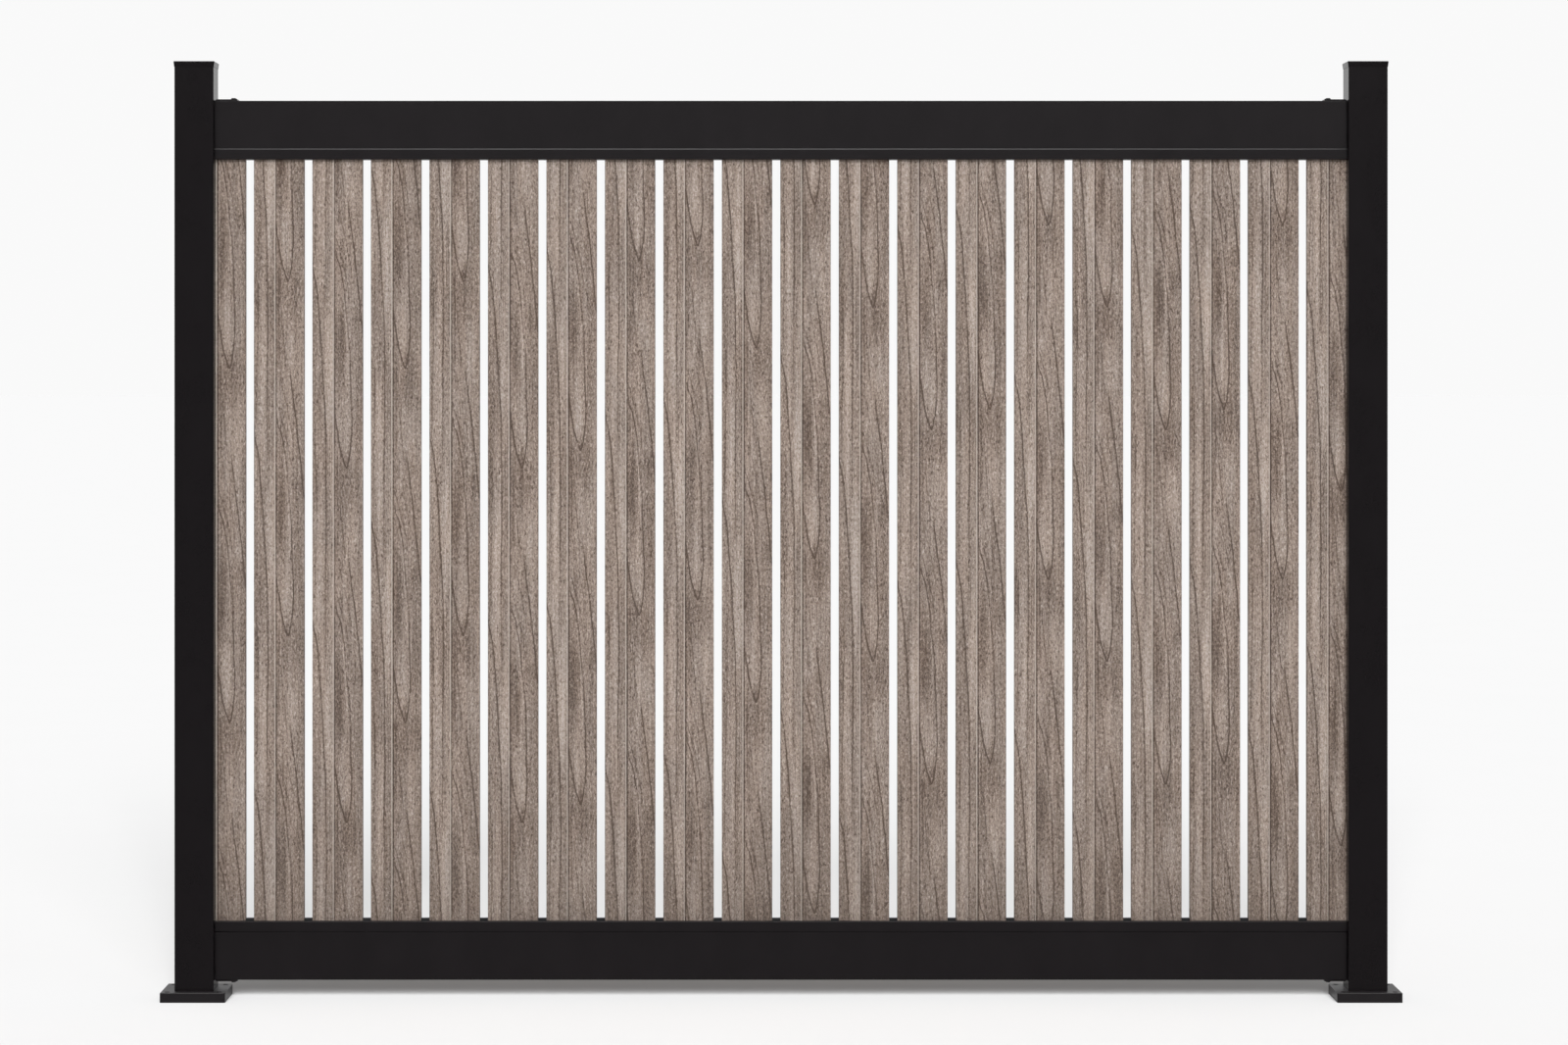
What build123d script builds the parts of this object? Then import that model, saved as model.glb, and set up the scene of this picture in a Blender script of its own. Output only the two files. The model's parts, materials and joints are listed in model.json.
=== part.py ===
from build123d import *
import math
import os

# Aluminium fence panel: vertical hollow slats held in grooved top and bottom
# rails, between two square posts that stand on bolted base plates.
# Millimetres. The origin is the middle of the left base plate's underside.
# +X runs along the fence to the right post, +Y to its back, +Z up.

# Overall
post_spacing = 2286.0
overall_height = 1829.0

# Posts: square tube
post_width = 76.2
post_wall = 2.5
post_corner_r = 2.0

# Base plates
plate_width = 127.0
plate_thickness = 19.0
plate_corner_r = 3.0
plate_edge_chamfer = 1.0
anchor_spacing = 101.6
anchor_hole_r = 5.5

# Post caps: a flat lid that flares outwards, with a skirt inside the tube
cap_height = 11.0
cap_overhang_bottom = 0.5
cap_overhang_top = 2.0
cap_edge_chamfer = 1.2
cap_roof = 3.0
cap_skirt_depth = 22.0
cap_skirt_wall = 2.0
cap_skirt_clearance = 0.3

# Rails: one hollow extrusion, used one way up at the bottom and turned over at the top
rail_height = 114.3
rail_depth = 38.1
rail_wall = 2.0
rail_corner_r = 1.2
rail_lip_height = 21.0
rail_lip_proud = 2.0
slat_groove_depth = 22.0
slat_groove_clearance = 0.5
bottom_rail_lift = 38.0
top_rail_drop = 76.0

rail_end_gap = 0.5

# Rail brackets: bent angle, leg on the post inside the rail's end, flange on the rail's flat side
bracket_thickness = 3.0
bracket_bend_r = 2.0
bracket_flange = 44.0
bracket_leg_clearance = 7.3
bracket_side_clearance = 0.3
bracket_notch_clearance = 0.5
bracket_screw_r = 2.6
bracket_screw_spacing = 18.0
bracket_screw_inset = 8.0

# Slats: hollow extrusion with a V-groove along both faces
slat_width = 98.4
slat_thickness = 16.0
slat_wall = 1.4
slat_edge_r = 2.0
slat_gap = 15.9
vee_place = 42.8
vee_width = 4.5
vee_depth = 2.2
left_rip_to_vee = 3.4
end_slat_clearance = 0.3
slat_top_clearance = 3.0

# Spacers: small channels that close the groove between two slats, proud of the bottom rail only
spacer_wall = 2.0
spacer_clearance = 0.2
spacer_proud = 4.0
spacer_recess = 1.0

# Places that follow from the sizes above
half_post = post_width / 2
post_top = overall_height - cap_height
clear_width = post_spacing - post_width
rail_length = clear_width - 2 * rail_end_gap
rail_start = half_post + rail_end_gap
rail_hollow = rail_depth - 2 * rail_wall
top_rail_top = overall_height - top_rail_drop
slat_groove_width = slat_thickness + 2 * slat_groove_clearance
slat_bottom = bottom_rail_lift + rail_height - slat_groove_depth
slat_top = top_rail_top - rail_height + slat_groove_depth - slat_top_clearance
bracket_leg = rail_height - slat_groove_depth + bracket_thickness - bracket_leg_clearance
bracket_width = rail_hollow - 2 * bracket_side_clearance
bracket_notch = bracket_thickness + bracket_bend_r + bracket_notch_clearance - rail_end_gap


def base_plate(post_x):
    """Square plate with rounded corners, a broken top edge and four anchor holes."""
    plate = extrude(RectangleRounded(plate_width, plate_width, plate_corner_r), plate_thickness)
    plate = chamfer(plate.faces().sort_by(Axis.Z)[-1].edges(), plate_edge_chamfer)
    hole = extrude(Circle(anchor_hole_r), plate_thickness)
    holes = [spot * hole for spot in GridLocations(anchor_spacing, anchor_spacing, 2, 2)]
    return Pos(post_x, 0, 0) * (plate - holes)


def post(post_x):
    """Square tube from the top of its plate to the underside of its cap."""
    bore_width = post_width - 2 * post_wall
    section = RectangleRounded(post_width, post_width, post_corner_r)
    section -= RectangleRounded(bore_width, bore_width, post_corner_r / 2)
    return Pos(post_x, 0, plate_thickness) * extrude(section, post_top - plate_thickness)


def post_cap(post_x):
    """Flat lid, wider at its top than at its rim, on a skirt that fits in the tube."""
    rim_width = post_width + 2 * cap_overhang_bottom
    flare = math.degrees(math.atan2(cap_overhang_top - cap_overhang_bottom, cap_height))
    lid = extrude(RectangleRounded(rim_width, rim_width, post_corner_r), cap_height, taper=-flare)
    lid = chamfer(lid.faces().sort_by(Axis.Z)[-1].edges(), cap_edge_chamfer)
    skirt_width = post_width - 2 * (post_wall + cap_skirt_clearance)
    pocket_width = skirt_width - 2 * cap_skirt_wall
    skirt = Pos(0, 0, -cap_skirt_depth) * extrude(Rectangle(skirt_width, skirt_width), cap_skirt_depth)
    pocket_depth = cap_skirt_depth + cap_height - cap_roof
    pocket = Pos(0, 0, -cap_skirt_depth) * extrude(Rectangle(pocket_width, pocket_width), pocket_depth)
    return Pos(post_x, 0, post_top) * (lid + skirt - pocket)


def rail_section():
    """Rail section in depth and height: a box that widens to a lip round the slat groove."""
    face = rail_depth / 2
    lip = face + rail_lip_proud
    step = rail_height - rail_lip_height
    right = [(face, 0), (face, step), (lip, step + rail_lip_proud), (lip, rail_height)]
    left = [(-across, up) for across, up in reversed(right)]
    outline = Polygon(*right, *left, align=None)
    hollow = offset(outline, amount=-rail_wall, kind=Kind.INTERSECTION)
    ends = outline.vertices().group_by(Axis.Y)
    outline = fillet(ends[0] + ends[-1], rail_corner_r)
    at_lip = Pos(0, rail_height)
    hanging = (Align.CENTER, Align.MAX)
    trough = Rectangle(
        slat_groove_width + 2 * rail_wall, slat_groove_depth + rail_wall, align=hanging
    )
    groove = Rectangle(slat_groove_width, slat_groove_depth, align=hanging)
    return outline - (hollow - at_lip * trough) - at_lip * groove


def rail():
    """Rail with its groove up, its flat side notched at both ends where a bracket bends into the hollow."""
    solid = extrude(Plane.YZ * rail_section(), rail_length)
    notch = extrude(Rectangle(bracket_notch, rail_hollow, align=(Align.MIN, Align.CENTER)), rail_wall)
    return solid - [notch, Pos(rail_length - bracket_notch, 0, 0) * notch]


def bottom_rail():
    """The rail with its groove upwards."""
    return Pos(rail_start, 0, bottom_rail_lift) * rail()


def top_rail():
    """The same rail turned over, with its groove downwards."""
    return Pos(rail_start, 0, top_rail_top) * mirror(rail(), about=Plane.XY)


def bracket():
    """Left bracket of the bottom rail: its leg rises on the post in the rail's hollow, its flange runs under it."""
    corner = [(0, 0), (bracket_flange, 0), (bracket_flange, bracket_thickness)]
    corner += [(bracket_thickness, bracket_thickness), (bracket_thickness, bracket_leg), (0, bracket_leg)]
    angle = Polygon(*corner, align=None)
    inner = angle.vertices().sort_by_distance((bracket_thickness, bracket_thickness))[0]
    angle = fillet(inner, bracket_bend_r)
    outer = angle.vertices().sort_by_distance((0, 0))[0]
    angle = fillet(outer, bracket_bend_r + bracket_thickness)
    solid = extrude(Plane.XZ * angle, bracket_width / 2, both=True)
    shank = extrude(Circle(bracket_screw_r), bracket_thickness)
    on_flange = Pos(bracket_flange - bracket_screw_inset, 0, 0)
    on_leg = Pos(0, 0, bracket_leg - bracket_screw_inset) * Rot(0, 90, 0)
    for spot in GridLocations(0, bracket_screw_spacing, 1, 2):
        solid -= [on_flange * spot * shank, on_leg * spot * shank]
    return Pos(half_post, 0, bottom_rail_lift - bracket_thickness) * solid


def to_right(piece):
    """Mirror image of a left-hand piece about the middle of the panel."""
    return mirror(piece, about=Plane.YZ.offset(post_spacing / 2))


def to_top(piece):
    """Mirror image of a bottom piece about mid-height of the two rails."""
    return mirror(piece, about=Plane.XY.offset((bottom_rail_lift + top_rail_top) / 2))


def slat_section(cut_from, cut_to):
    """Slat section between two saw cuts, measured from the left edge of a whole slat."""
    from_left = (Align.MIN, Align.CENTER)
    section = Pos(slat_width / 2, 0) * RectangleRounded(slat_width, slat_thickness, slat_edge_r)
    half_vee = vee_width / 2
    front = -slat_thickness / 2
    vee = Polygon(
        (vee_place - half_vee, front), (vee_place + half_vee, front), (vee_place, front + vee_depth),
        align=None,
    )
    section -= vee + mirror(vee, about=Plane.XZ)
    chamber_depth = slat_thickness - 2 * slat_wall
    left_chamber = vee_place - half_vee - slat_wall
    right_chamber = slat_width - slat_wall - vee_place - half_vee
    section -= Pos(slat_wall, 0) * Rectangle(left_chamber, chamber_depth, align=from_left)
    section -= Pos(vee_place + half_vee, 0) * Rectangle(right_chamber, chamber_depth, align=from_left)
    return section & Pos(cut_from, 0) * Rectangle(cut_to - cut_from, slat_thickness, align=from_left)


def slat_cuts():
    """Left edge on the fence and the two saw cuts of each slat, from the left post to the right."""
    first = half_post + end_slat_clearance
    last = post_spacing - half_post - end_slat_clearance
    left_rip = vee_place - left_rip_to_vee
    cuts = [(first, left_rip, slat_width)]
    left_edge = first + slat_width - left_rip + slat_gap
    while left_edge + slat_width + slat_gap < last:
        cuts.append((left_edge, 0, slat_width))
        left_edge += slat_width + slat_gap
    cuts.append((left_edge, 0, min(slat_width, last - left_edge)))
    return cuts


def slat(left_edge, cut_from, cut_to):
    """One slat, standing on the floor of the bottom groove."""
    section = Pos(left_edge - cut_from, 0) * slat_section(cut_from, cut_to)
    return Pos(0, 0, slat_bottom) * extrude(section, slat_top - slat_bottom)


def spacers(cuts, height):
    """Channels in the bottom groove, one in each gap between two slats."""
    depth = slat_groove_width - 2 * spacer_clearance
    length = slat_gap - 2 * spacer_clearance
    standing = (Align.CENTER, Align.MIN)
    section = Rectangle(depth, height, align=standing)
    section -= Rectangle(depth - 2 * spacer_wall, height - spacer_wall, align=standing)
    channel = extrude(Plane.YZ * section, length)
    starts = [left_edge - slat_gap + spacer_clearance for left_edge, _, _ in cuts[1:]]
    return Compound([Pos(start, 0, slat_bottom) * channel for start in starts])


cuts = slat_cuts()
pieces = {
    "left_base_plate": base_plate(0),
    "right_base_plate": base_plate(post_spacing),
    "left_post": post(0),
    "right_post": post(post_spacing),
    "left_post_cap": post_cap(0),
    "right_post_cap": post_cap(post_spacing),
    "bottom_rail": bottom_rail(),
    "top_rail": top_rail(),
    "bottom_left_bracket": bracket(),
    "bottom_right_bracket": to_right(bracket()),
    "top_left_bracket": to_top(bracket()),
    "top_right_bracket": to_top(to_right(bracket())),
    "bottom_spacers": spacers(cuts, slat_groove_depth + spacer_proud),
    "top_spacers": to_top(spacers(cuts, slat_groove_depth - spacer_recess)),
}
for number, cut in enumerate(cuts, start=1):
    pieces[f"slat_{number:02d}"] = slat(*cut)

os.makedirs("parts", exist_ok=True)
for name, piece in pieces.items():
    export_step(piece, f"parts/{name}.step")
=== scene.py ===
# %% [markdown]
# # A slatted aluminium fence panel
# The real panel is a black frame of two square posts and two rails, with hollow slats in a wood-print film between
# them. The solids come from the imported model, and their shapes are already right, so this lesson spends its effort
# on finishes, on the small screws that the solids leave out, and on light and camera.
# Everything is in metres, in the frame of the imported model: X along the fence, Y to its back, Z up.

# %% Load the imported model
import json

import bmesh
import bpy
from mathutils import Matrix, Vector


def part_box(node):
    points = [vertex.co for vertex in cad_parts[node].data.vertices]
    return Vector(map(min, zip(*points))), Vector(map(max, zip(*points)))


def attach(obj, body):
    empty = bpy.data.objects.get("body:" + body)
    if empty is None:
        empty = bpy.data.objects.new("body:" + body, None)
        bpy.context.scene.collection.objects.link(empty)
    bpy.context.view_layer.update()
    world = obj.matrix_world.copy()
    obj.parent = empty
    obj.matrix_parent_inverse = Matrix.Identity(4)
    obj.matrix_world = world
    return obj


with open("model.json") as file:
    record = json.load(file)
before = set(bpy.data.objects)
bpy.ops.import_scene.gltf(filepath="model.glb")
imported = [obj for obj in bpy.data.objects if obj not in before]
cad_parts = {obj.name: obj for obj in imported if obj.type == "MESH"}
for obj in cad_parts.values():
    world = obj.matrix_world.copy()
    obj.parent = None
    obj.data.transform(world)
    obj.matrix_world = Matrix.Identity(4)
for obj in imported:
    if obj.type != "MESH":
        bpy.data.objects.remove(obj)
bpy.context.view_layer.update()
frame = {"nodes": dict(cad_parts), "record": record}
nodes = frame["nodes"]

# %% [markdown]
# ## Writing shader maths as plain sums
# A finish is a tree of nodes, and adding each node by hand hides the idea behind it. This small class wraps one
# output of a node, so that a sum such as 1 - mask * 0.5 adds its own Math nodes. Every other kind of node comes from
# its add method, which takes the node's type, its settings and its inputs.

# %% A socket that can be added and multiplied
class Signal:
    """One output of a node, which can be used in sums."""

    def __init__(self, tree, node=None, output=0):
        self.tree = tree
        self.node = node
        self.socket = node.outputs[output] if node else None

    def add(self, kind, settings=None, inputs=None, output=0):
        """Adds a node, sets it up, joins its inputs, and returns one of its outputs."""
        node = self.tree.nodes.new(kind)
        for name, value in (settings or {}).items():
            if name == "stops":
                set_stops(node.color_ramp, value)
            elif name == "points":
                set_points(node.mapping, value)
            elif name == "interpolation":
                node.color_ramp.interpolation = value
            else:
                setattr(node, name, value)
        for name, value in (inputs or {}).items():
            if isinstance(value, Signal):
                self.tree.links.new(value.socket, node.inputs[name])
            else:
                node.inputs[name].default_value = value
        return Signal(self.tree, node, output)

    def out(self, output):
        """Another output of the same node."""
        return Signal(self.tree, self.node, output)

    def math(self, operation, other=0.0):
        return self.add("ShaderNodeMath", {"operation": operation}, {0: self, 1: other})

    def smooth(self, low, high):
        """Rises softly from 0 at low to 1 at high."""
        limits = {"Value": self, "From Min": low, "From Max": high}
        return self.add("ShaderNodeMapRange", {"interpolation_type": "SMOOTHSTEP"}, limits)

    def clipped(self):
        return self.add("ShaderNodeClamp", {}, {"Value": self})

    def __add__(self, other):
        return self.math("ADD", other)

    def __sub__(self, other):
        return self.math("SUBTRACT", other)

    def __rsub__(self, other):
        return self.add("ShaderNodeMath", {"operation": "SUBTRACT"}, {0: other, 1: self})

    def __mul__(self, other):
        return self.math("MULTIPLY", other)

    def __truediv__(self, other):
        return self.math("DIVIDE", other)

    def __pow__(self, other):
        return self.math("POWER", other)

    def __abs__(self):
        return self.math("ABSOLUTE")

    __radd__ = __add__
    __rmul__ = __mul__


def set_stops(ramp, stops):
    """Gives a colour ramp its list of (place, colour)."""
    while len(ramp.elements) < len(stops):
        ramp.elements.new(1.0)
    for element, (place, colour) in zip(ramp.elements, stops):
        element.position = place
        element.color = colour


def set_points(mapping, points):
    """Gives a curve its list of points, joined smoothly but without overshoot."""
    curve = mapping.curves[0]
    while len(curve.points) < len(points):
        curve.points.new(1.0, 1.0)
    for point, spot in zip(curve.points, points):
        point.location = spot
        point.handle_type = "AUTO_CLAMPED"
    mapping.update()


print("sums on sockets are ready")

# %% [markdown]
# ## Starting a finish
# Each finish is one Principled shader. What is the same all over it, such as its specular level, is set on the
# shader itself, and only what varies is linked. Colours are written as a painter would pick them on a screen, so a
# helper turns such a colour into the linear values that the shader wants. Noise is read from Object coordinates,
# with a size in metres for each axis, because a finish then keeps its real scale on every piece.

# %% Helpers for finishes
def paint(red, green, blue):
    """Linear colour from screen values of 0 to 255."""
    def linear(value):
        value /= 255
        return value / 12.92 if value <= 0.04045 else ((value + 0.055) / 1.055) ** 2.4
    return (linear(red), linear(green), linear(blue), 1.0)


def new_finish(name, **constants):
    """A material with its Principled shader, and a signal to start its sums from."""
    material = bpy.data.materials.new(name)
    material.use_nodes = True
    shader = material.node_tree.nodes["Principled BSDF"]
    for socket, value in constants.items():
        shader.inputs[socket.replace("_", " ")].default_value = value
    return material, shader, Signal(material.node_tree)


def join(signal, shader, socket):
    """Links a signal to one socket of the shader."""
    signal.tree.links.new(signal.socket, shader.inputs[socket])


def noise(place, size, detail=2.0, roughness=0.5, moved=0.0):
    """Noise from 0 to 1 with blobs of about the given size in metres along each axis."""
    scale = [1 / length for length in size]
    spot = place.add(
        "ShaderNodeVectorMath", {"operation": "MULTIPLY_ADD"}, {0: place, 1: scale, 2: [moved] * 3}
    )
    inputs = {"Vector": spot, "Scale": 1.0, "Detail": detail, "Roughness": roughness}
    return place.add("ShaderNodeTexNoise", {}, inputs)


def mix(factor, first, second):
    """Colour between two colours."""
    return factor.add("ShaderNodeMix", {"data_type": "RGBA"}, {0: factor, 6: first, 7: second}, output=2)


def emboss(height, distance, strength):
    """Normal of a surface raised by a height of 0 to 1 times the distance in metres."""
    return height.add(
        "ShaderNodeBump", {}, {"Height": height, "Distance": distance, "Strength": strength}
    )


print("helpers for finishes are ready")

# %% [markdown]
# ## Black powder coat
# Powder coat is sprayed on as dry powder and melts to a skin with a faint orange peel. Flat faces look nearly black,
# and only edges and faces seen at a slant turn grey. The posts and caps have a smoother, satin coat, the rails and
# brackets a matt one that is a shade lighter, and the plates the roughest, so one function makes all three. The
# colour stays almost even, with a slight cloudiness, and the peel goes into a fine bump and the roughness. A little
# dust lies on upper faces.

# %% Powder coat
dust_grey = paint(74, 73, 71)
dust_film = 0.03
dust_specks = 0.10


def powder_coat(name, dark, light, roughness, specular, peel_size, peel_height):
    """Black coat between two tones, with an orange peel of the given size and height in metres."""
    coat, shader, begin = new_finish(name, Specular_IOR_Level=specular)
    place = begin.add("ShaderNodeTexCoord", output="Object")
    peel = noise(place, (peel_size, peel_size, peel_size), detail=2)
    clouds = noise(place, (0.06, 0.06, 0.09), detail=4, roughness=0.6)
    facing = begin.add("ShaderNodeNewGeometry", output="Normal")
    upward = begin.add("ShaderNodeSeparateXYZ", {}, {0: facing}, output="Z").smooth(0.8, 1.0)
    speckle = noise(place, (0.004, 0.004, 0.004), detail=5, roughness=0.7).smooth(0.45, 0.75)
    dust = upward * (dust_film + speckle * dust_specks)
    colour = mix((clouds * 0.6 + peel * 0.4).smooth(0.3, 0.7), dark, light)
    join(mix(dust, colour, dust_grey), shader, "Base Color")
    join(roughness + clouds * 0.06 + peel * 0.06 + dust * 0.5, shader, "Roughness")
    join(emboss(peel, peel_height, 0.5), shader, "Normal")
    print(name, "has", len(coat.node_tree.nodes), "nodes")
    return coat


post_coat = powder_coat(
    "satin_black_post_coat", paint(10, 6, 8), paint(14, 10, 12),
    roughness=0.17, specular=0.10, peel_size=0.0012, peel_height=0.00004,
)
rail_coat = powder_coat(
    "matt_black_rail_coat", paint(12, 8, 10), paint(17, 13, 15),
    roughness=0.27, specular=0.12, peel_size=0.0009, peel_height=0.00005,
)
plate_coat = powder_coat(
    "rough_black_plate_coat", paint(12, 8, 10), paint(17, 13, 15),
    roughness=0.35, specular=0.165, peel_size=0.0012, peel_height=0.00006,
)

# %% [markdown]
# ## Plastic of the spacers
# Small moulded channels close the rail grooves between two slats. Moulded plastic is a little greyer than the coat
# and has a fine spark-eroded grain, which a dense noise gives as bump and as a change in roughness.

# %% Spacer plastic
plastic_dark = paint(14, 15, 16)
plastic_light = paint(24, 25, 26)
plastic, plastic_shader, begin = new_finish("spacer_plastic", Specular_IOR_Level=0.2)
plastic_place = begin.add("ShaderNodeTexCoord", output="Object")
erosion = noise(plastic_place, (0.0006, 0.0006, 0.0006), detail=3, roughness=0.6)
flow = noise(plastic_place, (0.012, 0.006, 0.03), detail=3)
join(mix(erosion * 0.6 + flow * 0.4, plastic_dark, plastic_light), plastic_shader, "Base Color")
join(0.55 + erosion * 0.2, plastic_shader, "Roughness")
join(emboss(erosion, 0.00006, 0.6), plastic_shader, "Normal")
print("spacer plastic has", len(plastic.node_tree.nodes), "nodes")

# %% [markdown]
# ## Wood print: finding the place on the film
# The slats are wrapped in a printed film. The print repeats along its length, and every slat was cut from another
# place of the roll, so the same figure sits at another height on each. One finish can serve all slats if it first
# works out, from the place of a point, which slat it is on, how far across that slat it lies, and how far down the
# repeat. The heights were read off the photograph: they are where the pointed end of the figure sits.

# %% Place on the film
slat_low, slat_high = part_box("slat_02")
next_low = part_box("slat_03")[0]
slat_width = slat_high.x - slat_low.x
slat_pitch = next_low.x - slat_low.x
half_gap = (slat_pitch - slat_width) / 2
print_repeat = 0.692
back_shift = 0.43
tip_heights_cm = (
    123, 140, 103.5, 123, 140, 103.5, 107, 144, 147, 127,
    155, 135, 111, 115, 151, 135, 111, 115, 151, 99,
)
film, film_shader, begin = new_finish("wood_print_film", Specular_IOR_Level=0.25)
film_place = begin.add("ShaderNodeTexCoord", output="Object")
axes = begin.add("ShaderNodeSeparateXYZ", {}, {0: film_place})
counted = (axes.out("X") - slat_low.x + half_gap) / slat_pitch
slat_number = counted.math("FLOOR")
across = (counted.math("FRACT") * slat_pitch - half_gap) / slat_width
ramp_top_cm = 200
tip_stops = []
for number, height in enumerate(tip_heights_cm):
    grey = height / ramp_top_cm
    tip_stops.append((number / len(tip_heights_cm), (grey, grey, grey, 1.0)))
# The count starts at the second slat, and half a step more reads the middle of a ramp's step.
first_step = 1.5
tip_place = (slat_number + first_step) / len(tip_heights_cm)
tip_ramp = begin.add(
    "ShaderNodeValToRGB", {"interpolation": "CONSTANT", "stops": tip_stops}, {"Fac": tip_place}
)
tip_height = tip_ramp * (ramp_top_cm / 100)
on_back = axes.out("Y").math("GREATER_THAN", 0.0)
down = ((tip_height - axes.out("Z")) / print_repeat + on_back * back_shift).math("FRACT")
print("slat", slat_width, "wide, pitch", slat_pitch, "print repeats after", print_repeat)

# %% [markdown]
# ## Wood print: the growth lines
# The figure is a plain-sawn board: long lines that lean from the left edge to the right, and a drop-shaped one that
# ends in a point. A stripe texture would give even bands, which wood hasn't. So each line gets its own curve, a list
# of (down the repeat, across the slat), and a second curve for how strong it is there. One side of a
# growth line is sharp and the other fades out, which two smooth steps give.

# %% Growth lines
sway = noise(film_place, (0.03, 0.03, 0.11), detail=3) - 0.5
fray = noise(film_place, (0.002, 0.002, 0.012), detail=3, roughness=0.65) - 0.5
u = across + sway * 0.035 + fray * 0.018


def along(points):
    """A value that follows a curve down the repeat."""
    return begin.add("ShaderNodeFloatCurve", {"points": points}, {"Value": down})


def growth_line(path, strength, sharp=0.018, faded=0.05):
    """How dark a line makes a point: 1 on its crest, fading to its left over faded, to its right over sharp."""
    beside = u - along(path)
    rising = (beside / faded + 1).clipped() ** 2.5
    return rising * (1 - beside.smooth(0.0, sharp)) * along(strength)


lines = [
    growth_line(
        [(0, 0), (0.40, 0.0), (0.50, 0.10), (0.58, 0.147), (0.66, 0.187), (0.74, 0.216), (0.82, 0.25),
         (0.89, 0.27), (1, 0.275)],
        [(0, 0), (0.38, 0), (0.44, 0.9), (0.6, 1), (0.74, 0.8), (0.8, 1), (1, 0.85)],
    ),
    growth_line(
        [(0, 0.275), (0.12, 0.28), (0.28, 0.265), (0.6, 0.265), (1, 0.265)],
        [(0, 0.85), (0.1, 0.95), (0.28, 0.8), (0.38, 0.5), (0.5, 0.35), (0.62, 0), (1, 0)],
        sharp=0.02, faded=0.035,
    ),
    growth_line(
        [(0, 0.47), (0.385, 0.47), (0.43, 0.55), (0.47, 0.60), (0.5, 0.635), (0.57, 0.675), (0.665, 0.74),
         (0.735, 0.755), (0.82, 0.768), (0.874, 0.782), (0.93, 0.765), (0.98, 0.72), (1, 0.68)],
        [(0, 0), (0.37, 0), (0.40, 0.95), (0.48, 0.8), (0.6, 0.5), (0.72, 0.8), (0.87, 0.95), (1, 1)],
        sharp=0.025, faded=0.03,
    ),
    growth_line(
        [(0, 0.44), (0.82, 0.44), (0.85, 0.455), (0.90, 0.505), (0.943, 0.555), (0.976, 0.62), (1, 0.68)],
        [(0, 0), (0.81, 0), (0.85, 0.8), (0.9, 1), (1, 1)],
        sharp=0.022, faded=0.05,
    ),
    growth_line(
        [(0, 0.70), (0.235, 0.715), (0.32, 0.775), (0.40, 0.85), (0.47, 0.897), (0.5, 0.925), (0.57, 0.967),
         (0.62, 1), (1, 1)],
        [(0, 0), (0.2, 0), (0.26, 0.6), (0.32, 0.95), (0.45, 1), (0.55, 1), (0.6, 0.7), (0.66, 0), (1, 0)],
        faded=0.045,
    ),
    growth_line(
        [(0, 0.53), (0.10, 0.553), (0.165, 0.592), (0.235, 0.637), (0.3, 0.66), (1, 0.66)],
        [(0, 0), (0.06, 0), (0.1, 0.45), (0.2, 0.55), (0.26, 0.2), (0.3, 0), (1, 0)],
        faded=0.03,
    ),
    growth_line(
        [(0, 0.085), (0.12, 0.085), (0.25, 0.065), (0.4, 0.055), (1, 0.055)],
        [(0, 0.5), (0.1, 0.6), (0.14, 0.3), (0.2, 0.4), (0.36, 0.45), (0.42, 0), (0.8, 0), (1, 0.4)],
        faded=0.04,
    ),
    growth_line(
        [(0, 0.345), (0.5, 0.335), (1, 0.345)],
        [(0, 0.4), (0.1, 0.35), (0.22, 0.05), (0.5, 0), (0.85, 0.1), (0.93, 0.4), (1, 0.4)],
        sharp=0.012, faded=0.02,
    ),
    growth_line(
        [(0, 0.305), (0.45, 0.30), (0.6, 0.295), (1, 0.305)],
        [(0, 0.25), (0.3, 0.1), (0.45, 0.3), (0.58, 0.35), (0.68, 0), (0.9, 0), (1, 0.25)],
        sharp=0.012, faded=0.02,
    ),
    growth_line(
        [(0, 0.50), (0.2, 0.505), (1, 0.50)],
        [(0, 0.45), (0.1, 0.4), (0.2, 0.35), (0.26, 0), (0.9, 0), (1, 0.45)],
        sharp=0.03, faded=0.07,
    ),
    growth_line(
        [(0, 0.385), (0.3, 0.39), (0.7, 0.38), (1, 0.385)],
        [(0, 0.45), (0.12, 0.4), (0.25, 0.1), (0.5, 0), (0.8, 0.1), (0.9, 0.45), (1, 0.45)],
        sharp=0.010, faded=0.016,
    ),
    growth_line(
        [(0, 0.46), (0.33, 0.46), (0.37, 0.52), (0.42, 0.60), (0.47, 0.66), (1, 0.66)],
        [(0, 0), (0.32, 0), (0.36, 0.6), (0.42, 0.65), (0.47, 0.25), (0.5, 0), (1, 0)],
        sharp=0.014, faded=0.022,
    ),
    growth_line(
        [(0, 0.54), (0.37, 0.54), (0.41, 0.61), (0.46, 0.68), (0.51, 0.725), (0.57, 0.76), (1, 0.76)],
        [(0, 0), (0.36, 0), (0.40, 0.5), (0.46, 0.6), (0.52, 0.4), (0.58, 0), (1, 0)],
        sharp=0.014, faded=0.022,
    ),
    growth_line(
        [(0, 0.56), (0.28, 0.56), (0.33, 0.63), (0.39, 0.71), (0.45, 0.77), (1, 0.77)],
        [(0, 0), (0.27, 0), (0.31, 0.35), (0.38, 0.5), (0.44, 0.25), (0.48, 0), (1, 0)],
        sharp=0.014, faded=0.022,
    ),
]
pale_line = growth_line(
    [(0, 0.58), (0.45, 0.58), (0.51, 0.615), (0.60, 0.672), (0.70, 0.705), (0.75, 0.715), (1, 0.715)],
    [(0, 0), (0.44, 0), (0.52, 0.7), (0.60, 1), (0.68, 0.9), (0.76, 0.3), (0.82, 0), (1, 0)],
    sharp=0.016, faded=0.035,
)
dark_lines = lines[0]
for line in lines[1:]:
    dark_lines = dark_lines.math("MAXIMUM", line)
print("drew", len(lines), "growth lines and a pale one")

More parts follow.
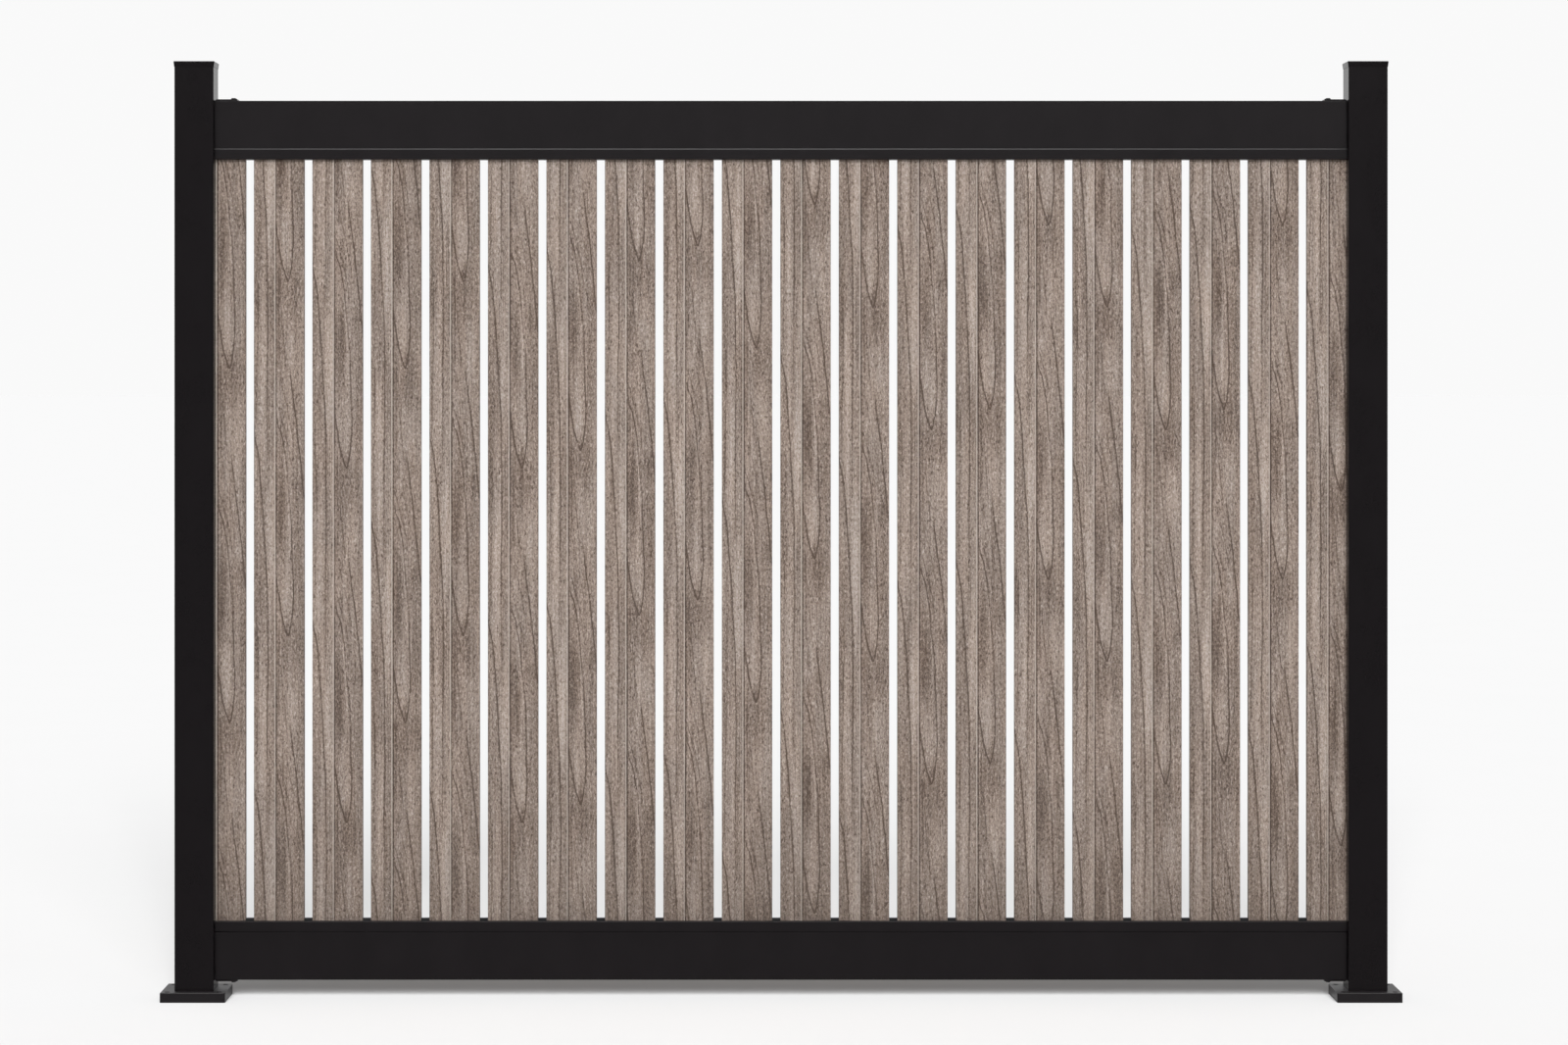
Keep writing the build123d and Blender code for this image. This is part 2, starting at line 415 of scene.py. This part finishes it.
# %% [markdown]
# ## Wood print: soft patches and rings
# Between the lines the board is lighter or darker in soft areas, and under the point of the drop a few faint rings
# follow its shape. A patch is an oval that fades to nothing at its rim. Its height is measured the short way round
# the repeat, so that a patch can lie across the place where the repeat starts again.

# %% Patches and rings
def patch(middle_across, middle_down, half_across, half_down):
    """1 in the middle of an oval on the print, 0 outside it."""
    sideways = (u - middle_across) / half_across
    lengthways = ((down - middle_down + 0.5).math("FLOORED_MODULO", 1.0) - 0.5) / half_down
    inside = (1 - sideways * sideways - lengthways * lengthways).math("MAXIMUM", 0.0)
    return inside * inside


patches = [
    (0.54, 0.62, 0.17, 0.14, -0.22),
    (0.53, 0.72, 0.15, 0.11, -0.15),
    (0.64, 0.88, 0.16, 0.15, 0.14),
    (0.33, 0.72, 0.14, 0.30, 0.20),
    (0.18, 0.28, 0.11, 0.36, 0.14),
    (0.78, 0.20, 0.26, 0.12, 0.10),
    (0.72, 0.03, 0.40, 0.11, -0.15),
    (0.07, 0.85, 0.18, 0.30, -0.10),
    (0.92, 0.76, 0.16, 0.26, -0.10),
    (0.87, 0.58, 0.16, 0.06, -0.14),
    (0.56, 0.33, 0.16, 0.13, 0.10),
    (0.55, 0.285, 0.06, 0.045, -0.20),
    (0.58, 0.37, 0.08, 0.055, -0.14),
    (0.675, 0.972, 0.06, 0.036, -0.13),
    (0.03, 0.05, 0.10, 0.12, -0.12),
]
mid_tone = 0.5
tone = mid_tone
for middle_across, middle_down, half_across, half_down, change in patches:
    tone = tone + patch(middle_across, middle_down, half_across, half_down) * change
tip_across = 0.68
ring_slope = 0.68
rings_per_repeat = 22
ring_sway = 0.08
ring_strength = 0.05
full_turn = 6.2832
ring_phase = (down + abs(u - tip_across) * ring_slope + sway * ring_sway) * (rings_per_repeat * full_turn)
ring_zone = down.smooth(0.0, 0.02) * (1 - down.smooth(0.07, 0.15)) * u.smooth(0.46, 0.52)
tone = tone + ring_phase.math("SINE") * ring_zone * ring_strength
print("drew", len(patches), "patches and the rings under the point")

# %% [markdown]
# ## Wood print: fibres and flecks
# Close up, the print is full of short fibres: light and dark dashes, one or two millimetres wide and a centimetre
# long. Noise that is stretched along the slat gives them at several sizes. In the V-groove the left wall gets a
# painted highlight, a pale line, and the right wall a painted shade, as light from the right would give them. The
# board right of the fold is a shade darker.

# %% Fibres, flecks and the groove
fibres = noise(film_place, (0.0027, 0.0027, 0.007), detail=3, roughness=0.8) - 0.5
threads = noise(film_place, (0.004, 0.004, 0.12), detail=3, roughness=0.6, moved=11.0) - 0.5
streaks = noise(film_place, (0.010, 0.010, 0.5), detail=3, roughness=0.6, moved=17.0) - 0.5
clouding = noise(film_place, (0.035, 0.035, 0.10), detail=3, roughness=0.55, moved=23.0) - 0.5
pores = noise(film_place, (0.0030, 0.0030, 0.007), detail=2, moved=37.0).smooth(0.56, 0.70)
flecks = noise(film_place, (0.0030, 0.0030, 0.006), detail=2, moved=51.0).smooth(0.56, 0.70)
vee_across = 0.435
fold = across - vee_across
# painted highlight: the groove's left wall is made paler, as light from the right would make it
painted_highlight_wall = fold.smooth(-0.030, -0.022) * (1 - fold.smooth(-0.012, -0.004))
# painted shade: the groove's right wall is made darker, as the side turned away from the light
painted_shade_wall = fold.smooth(-0.004, 0.004) * (1 - fold.smooth(0.018, 0.026))
tone = tone + fibres * 1.6 + threads * 0.58 + streaks * 0.48 + clouding * 0.12
tone = tone - pores * 0.28 + flecks * 0.26
tone = tone - dark_lines * (0.55 + fibres * 0.5) + pale_line * 0.2
right_board = fold.smooth(0.0, 0.03)
wall_painted_shade = 0.28
board_shade = 0.028
contrast = 1.18
lift = 0.038
shaded = tone - painted_shade_wall * wall_painted_shade - right_board * board_shade
tone = ((shaded - mid_tone) * contrast + (mid_tone + lift)).clipped()
print("fibres, flecks and groove are in the print")

# %% [markdown]
# ## Wood print: colour and touch
# One number, the tone, now says how dark each point is. A colour ramp turns it into the grey-brown of weathered oak,
# and a second, warmer ramp is mixed in by a broad noise, because wood is never one hue. Towards the lower rail the
# slats get a painted shade, darkest at the rail and hardly at all above the knee. The film is matt, and its emboss
# follows the fibres.

# %% Colour and touch of the film
cool_stops = [
    (0.0, paint(81, 68, 60)), (0.25, paint(110, 96, 87)), (0.5, paint(141, 127, 117)),
    (0.75, paint(165, 151, 142)), (1.0, paint(190, 178, 169)),
]
warm_stops = [
    (0.0, paint(84, 69, 59)), (0.25, paint(112, 97, 87)), (0.5, paint(145, 129, 118)),
    (0.75, paint(169, 153, 142)), (1.0, paint(195, 180, 169)),
]
cool = begin.add("ShaderNodeValToRGB", {"stops": cool_stops}, {"Fac": tone})
warm = begin.add("ShaderNodeValToRGB", {"stops": warm_stops}, {"Fac": tone})
warmth = noise(film_place, (0.02, 0.02, 0.14), detail=2, moved=71.0).smooth(0.35, 0.65)
# colour of the painted highlight on the groove's left wall
fold_highlight_pale = paint(214, 206, 197)
fold_highlight_strength = 0.65
wood = mix(painted_highlight_wall * fold_highlight_strength, mix(warmth, cool, warm), fold_highlight_pale)
# painted shade: the slats are darkened towards the lower rail, most at the rail and fading upwards
foot_shade_brown = paint(66, 57, 50)
foot_shade_height = 0.20
foot_shade_strength = 0.36
foot_shade_clouds = 0.2
lower_rail_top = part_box("bottom_rail")[1].z
fading = ((lower_rail_top - axes.out("Z")) / foot_shade_height).math("EXPONENT")
foot_shade = fading * (foot_shade_strength + clouding * foot_shade_clouds)
join(mix(foot_shade, wood, foot_shade_brown), film_shader, "Base Color")
join(0.62 - fibres * 0.15 + pores * 0.08, film_shader, "Roughness")
join(emboss(fibres - pores * 0.4 + flecks * 0.2, 0.00012, 0.35), film_shader, "Normal")
print("wood print has", len(film.node_tree.nodes), "nodes")

# %% [markdown]
# ## Dressing the solids
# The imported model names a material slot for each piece. A finish is put in the piece's own slot, and its shape stays
# as it is.

# %% Put the finishes on
finishes = {"frame_powder_coat": post_coat, "slat_film": film, "spacer_plastic": plastic}
for part in frame["record"]["subparts"]:
    piece = nodes[part["node"]]
    finish = finishes[part["material_slot"]]
    if piece.name.endswith(("rail", "bracket")):
        finish = rail_coat
    elif piece.name.endswith("plate"):
        finish = plate_coat
    piece.data.materials.clear()
    piece.data.materials.append(finish)

# %% [markdown]
# ## A screw
# Each rail bracket is held by four button-head screws with a hexagon socket, black like the frame. A cylinder is the
# start: its upper rim is bevelled into a dome, its underside is inset and extruded into a shank, and a six-sided
# cutter takes out the socket. It is modelled once, at its first place, and copied.

# %% Helpers for modelling
def only(piece):
    """Makes a piece the one that operators act on."""
    bpy.ops.object.select_all(action="DESELECT")
    piece.select_set(True)
    bpy.context.view_layer.objects.active = piece


def select_faces(piece, test):
    """In edit mode, selects the faces that pass a test."""
    bpy.ops.mesh.select_mode(type="FACE")
    bpy.ops.mesh.select_all(action="DESELECT")
    edited = bmesh.from_edit_mesh(piece.data)
    for face in edited.faces:
        face.select_set(test(face))
    edited.select_flush(True)
    bmesh.update_edit_mesh(piece.data)


def settle(piece):
    """Puts a piece's place into its mesh."""
    only(piece)
    bpy.ops.object.transform_apply(location=True, rotation=True, scale=True)


print("helpers for modelling are ready")

# %% Model the first screw
head_radius = 0.0048
head_height = 0.0028
shank_radius = 0.0024
shank_length = 0.0029
round_sides = 36
dome_width = 0.0019
dome_steps = 5
dome_profile = 0.55
square_on = 0.9
bracket_low, bracket_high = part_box("top_left_bracket")
flange_top = bracket_high.z
screw_reach = 0.036
screw_side = 0.009
first_place = Vector((bracket_low.x + screw_reach, -screw_side, flange_top))
bpy.ops.object.select_all(action="DESELECT")
bpy.ops.mesh.primitive_cylinder_add(
    vertices=round_sides, radius=head_radius, depth=head_height,
    location=first_place + Vector((0, 0, head_height / 2)),
)
screw = bpy.context.object
screw.name = "top_left_flange_screw_front"
settle(screw)
bpy.ops.object.mode_set(mode="EDIT")
select_faces(screw, lambda face: face.normal.z > square_on)
bpy.ops.mesh.bevel(offset=dome_width, segments=dome_steps, profile=dome_profile, affect="EDGES")
select_faces(screw, lambda face: face.normal.z < -square_on)
bpy.ops.mesh.inset(thickness=head_radius - shank_radius)
bpy.ops.mesh.extrude_region_move(TRANSFORM_OT_translate={"value": (0, 0, -shank_length)})
bpy.ops.object.mode_set(mode="OBJECT")
print("turned a head with", len(screw.data.polygons), "faces")

# %% Cut its socket
socket_radius = 0.0023
socket_depth = 0.0016
socket_sides = 6
edge_break = 0.00015
smooth_angle = 0.6
bpy.ops.object.select_all(action="DESELECT")
bpy.ops.mesh.primitive_cylinder_add(
    vertices=socket_sides, radius=socket_radius, depth=2 * socket_depth,
    location=first_place + Vector((0, 0, head_height)),
)
cutter = bpy.context.object
settle(cutter)
only(screw)
bpy.ops.object.modifier_add(type="BOOLEAN")
screw.modifiers[-1].object = cutter
screw.modifiers[-1].operation = "DIFFERENCE"
bpy.ops.object.modifier_apply(modifier=screw.modifiers[-1].name)
bpy.ops.object.modifier_add(type="BEVEL")
screw.modifiers[-1].width = edge_break
screw.modifiers[-1].segments = 2
screw.modifiers[-1].limit_method = "ANGLE"
bpy.ops.object.modifier_apply(modifier=screw.modifiers[-1].name)
bpy.ops.object.shade_smooth_by_angle(angle=smooth_angle)
bpy.data.objects.remove(cutter)
print("socket cut, screw has", len(screw.data.polygons), "faces")

# %% [markdown]
# ## Finish of the screws
# The screws are blackened, so they look a touch more metallic than the coat. Fine turning rings round the head would
# be too small to see, so a fine noise in the roughness gives the satin of the blackening.

# %% Blackened steel
steel_dark = paint(26, 26, 28)
steel_light = paint(44, 43, 44)
steel, steel_shader, begin = new_finish("blackened_screw_steel", Specular_IOR_Level=0.4)
steel_place = begin.add("ShaderNodeTexCoord", output="Object")
patina = noise(steel_place, (0.0016, 0.0016, 0.0016), detail=4, roughness=0.65)
scratch = noise(steel_place, (0.0002, 0.0012, 0.0012), detail=2, moved=5.0)
join(mix(patina.smooth(0.35, 0.7), steel_dark, steel_light), steel_shader, "Base Color")
join(0.30 + patina * 0.15, steel_shader, "Roughness")
join(0.35 + scratch * 0.3, steel_shader, "Metallic")
join(emboss(scratch, 0.00002, 0.4), steel_shader, "Normal")
screw.data.materials.append(steel)
print("screw steel has", len(steel.node_tree.nodes), "nodes")

# %% [markdown]
# ## Copies of the screw
# Two screws hold each flange to its rail and two hold each leg to its post. A copy gets its own mesh, and a matrix
# that turns the first screw's axis to the new one moves that mesh, so the object itself stays at the origin.

# %% Put a screw in each hole
def copy_screw(name, spot, axis):
    """A copy of the first screw with its head's underside at spot, pointing along axis."""
    copied = screw.copy()
    copied.data = screw.data.copy()
    copied.name = name
    bpy.context.collection.objects.link(copied)
    turn = Vector((0, 0, 1)).rotation_difference(Vector(axis)).to_matrix().to_4x4()
    copied.data.transform(Matrix.Translation(spot) @ turn @ Matrix.Translation(-first_place))
    return copied


screws = [screw]
leg_screw_inset = 0.008
bracket_thickness = 0.003
for level, way in (("top", 1), ("bottom", -1)):
    for side, inward in (("left", 1), ("right", -1)):
        low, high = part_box(f"{level}_{side}_bracket")
        on_post = low.x if inward > 0 else high.x
        outside = high.z if way > 0 else low.z
        leg_end = low.z if way > 0 else high.z
        for face, across_rail in (("front", -screw_side), ("back", screw_side)):
            leg_height = leg_end + way * leg_screw_inset
            flange_spot = Vector((on_post + inward * screw_reach, across_rail, outside))
            leg_spot = Vector((on_post + inward * bracket_thickness, across_rail, leg_height))
            if (level, side, face) != ("top", "left", "front"):
                screws.append(copy_screw(f"{level}_{side}_flange_screw_{face}", flange_spot, (0, 0, way)))
            screws.append(copy_screw(f"{level}_{side}_leg_screw_{face}", leg_spot, (inward, 0, 0)))
for piece in screws:
    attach(piece, "root")
print("put in", len(screws), "screws")

# %% [markdown]
# ## Floor
# The panel stands on a plain white floor that reaches to the horizon, so that it meets the white surroundings
# without an edge. Its colour is chosen so that, in the light below, it comes out just under full white and keeps a
# shadow. What it throws back on to the panel is less, as from a grey floor, so that the panel is lit from the front.
# The white surroundings need the same distinction, so one helper tells both which rays look straight at them.

# %% Floor
def looked_at(begin):
    """1 for rays of the camera, of gloss and of glass, 0 for rays that only carry light."""
    rays = begin.add("ShaderNodeLightPath")
    looked = rays.out("Is Camera Ray").math("MAXIMUM", rays.out("Is Glossy Ray"))
    return looked.math("MAXIMUM", rays.out("Is Transmission Ray"))


floor_half = 150.0
floor_cells = 20
floor_middle = 1.1
floor_drop = 0.0002
bpy.ops.object.select_all(action="DESELECT")
bpy.ops.mesh.primitive_grid_add(
    x_subdivisions=floor_cells, y_subdivisions=floor_cells, size=2 * floor_half,
    location=(floor_middle, 0, -floor_drop),
)
floor = bpy.context.object
floor.name = "studio_floor"
settle(floor)
floor_paint, floor_shader, begin = new_finish("white_studio_floor", Specular_IOR_Level=0.0, Roughness=0.9)
floor_place = begin.add("ShaderNodeTexCoord", output="Object")
floor_clouds = noise(floor_place, (0.4, 0.4, 0.4), detail=3)
floor_dim = (0.796, 0.796, 0.797, 1.0)
floor_bright = (0.806, 0.806, 0.807, 1.0)
floor_bounce = (0.42, 0.42, 0.42, 1.0)
floor_white = mix(floor_clouds, floor_dim, floor_bright)
join(mix(looked_at(begin), floor_bounce, floor_white), floor_shader, "Base Color")
floor.data.materials.append(floor_paint)
print("floor is", 2 * floor_half, "metres wide")

# %% [markdown]
# ## Light
# The studio is white all round. What the camera, gloss and glass see of it is white, while the share that lights the
# panel is lower, so that colours come out as they were written. Five lamps are added. A low one in front is linked
# to the floor, where the lower rail, the posts and the plates throw its shadow. One straight above is linked to the
# black pieces and draws a thin bright line along the upper lip and the rims of the plates, as a strip light would. A
# soft one high in front lights everything and models the V-grooves and the sides of the slats. Two more light the
# pieces alone, without showing in their gloss: one from straight in front, so that the posts don't darken the slats
# beside them, and one from behind.

# %% Surroundings and lamps
white_level = 0.95
ambient_level = 0.30
lamp_distance = 3
scene = bpy.context.scene
scene.view_settings.view_transform = "Standard"
studio = bpy.data.worlds.new("white_studio")
scene.world = studio
studio.use_nodes = True
begin = Signal(studio.node_tree)
level_of_light = looked_at(begin) * (white_level - ambient_level) + ambient_level
background = studio.node_tree.nodes["Background"]
background.inputs["Color"].default_value = (1, 1, 1, 1)
studio.node_tree.links.new(level_of_light.socket, background.inputs["Strength"])


def sun(name, towards, strength, spread):
    """A far lamp in a direction from the panel, with the angle in radians that it spreads over."""
    turned = Vector(towards).to_track_quat("Z", "Y").to_euler()
    bpy.ops.object.light_add(type="SUN", location=Vector(towards) * lamp_distance, rotation=turned)
    lamp = bpy.context.object
    lamp.name = name
    lamp.data.energy = strength
    lamp.data.angle = spread
    return lamp


def link(lamp, kind, pieces):
    """Lets a lamp light only some pieces, or only some pieces throw its shadow."""
    chosen = bpy.data.collections.new(f"{lamp.name}_{kind}")
    for piece in pieces:
        chosen.objects.link(piece)
    setattr(lamp.light_linking, f"{kind}_collection", chosen)


all_pieces = list(nodes.values()) + screws
black_pieces = [piece for name, piece in nodes.items() if not name.startswith("slat")] + screws
foot_pieces = [
    piece for name, piece in nodes.items()
    if name.startswith("bottom") or name.endswith(("plate", "post"))
]
floor_light = sun("floor_light", (0.0, -1.0, 0.41), strength=5.65, spread=0.36)
link(floor_light, "receiver", [floor])
link(floor_light, "blocker", foot_pieces)
edge_light = sun("edge_light", (0.0, -0.12, 1.0), strength=2.1, spread=0.35)
link(edge_light, "receiver", black_pieces)
sun("front_light", (0.06, -0.89, 0.44), strength=1.48, spread=0.5)
face_light = sun("face_light", (0.0, -1.0, 0.30), strength=0.78, spread=0.3)
face_light.visible_glossy = False
link(face_light, "receiver", all_pieces)
back_light = sun("back_light", (-0.35, 0.85, 0.40), strength=1.55, spread=0.6)
back_light.visible_glossy = False
link(back_light, "receiver", all_pieces)

# %% [markdown]
# ## Camera
# The photograph was taken square on, from some way off, with the horizon above the middle of the frame. An almost
# level camera keeps the posts upright, a long lens keeps the perspective slight, and a small shift frames the panel
# as the photograph does.

# %% Camera
tilt_down = 0.00076
quarter_turn = 1.570796
camera_place = (1.0572, -8.3, 1.2426)
bpy.ops.object.camera_add(location=camera_place, rotation=(quarter_turn - tilt_down, 0, 0))
camera = bpy.context.object
camera.name = "photo_camera"
camera.data.sensor_width = 36.0
camera.data.lens = 97.445
camera.data.shift_x = 0.03
camera.data.shift_y = -0.10
camera.data.clip_end = 1000.0
scene.camera = camera
print("camera at", list(camera.location))
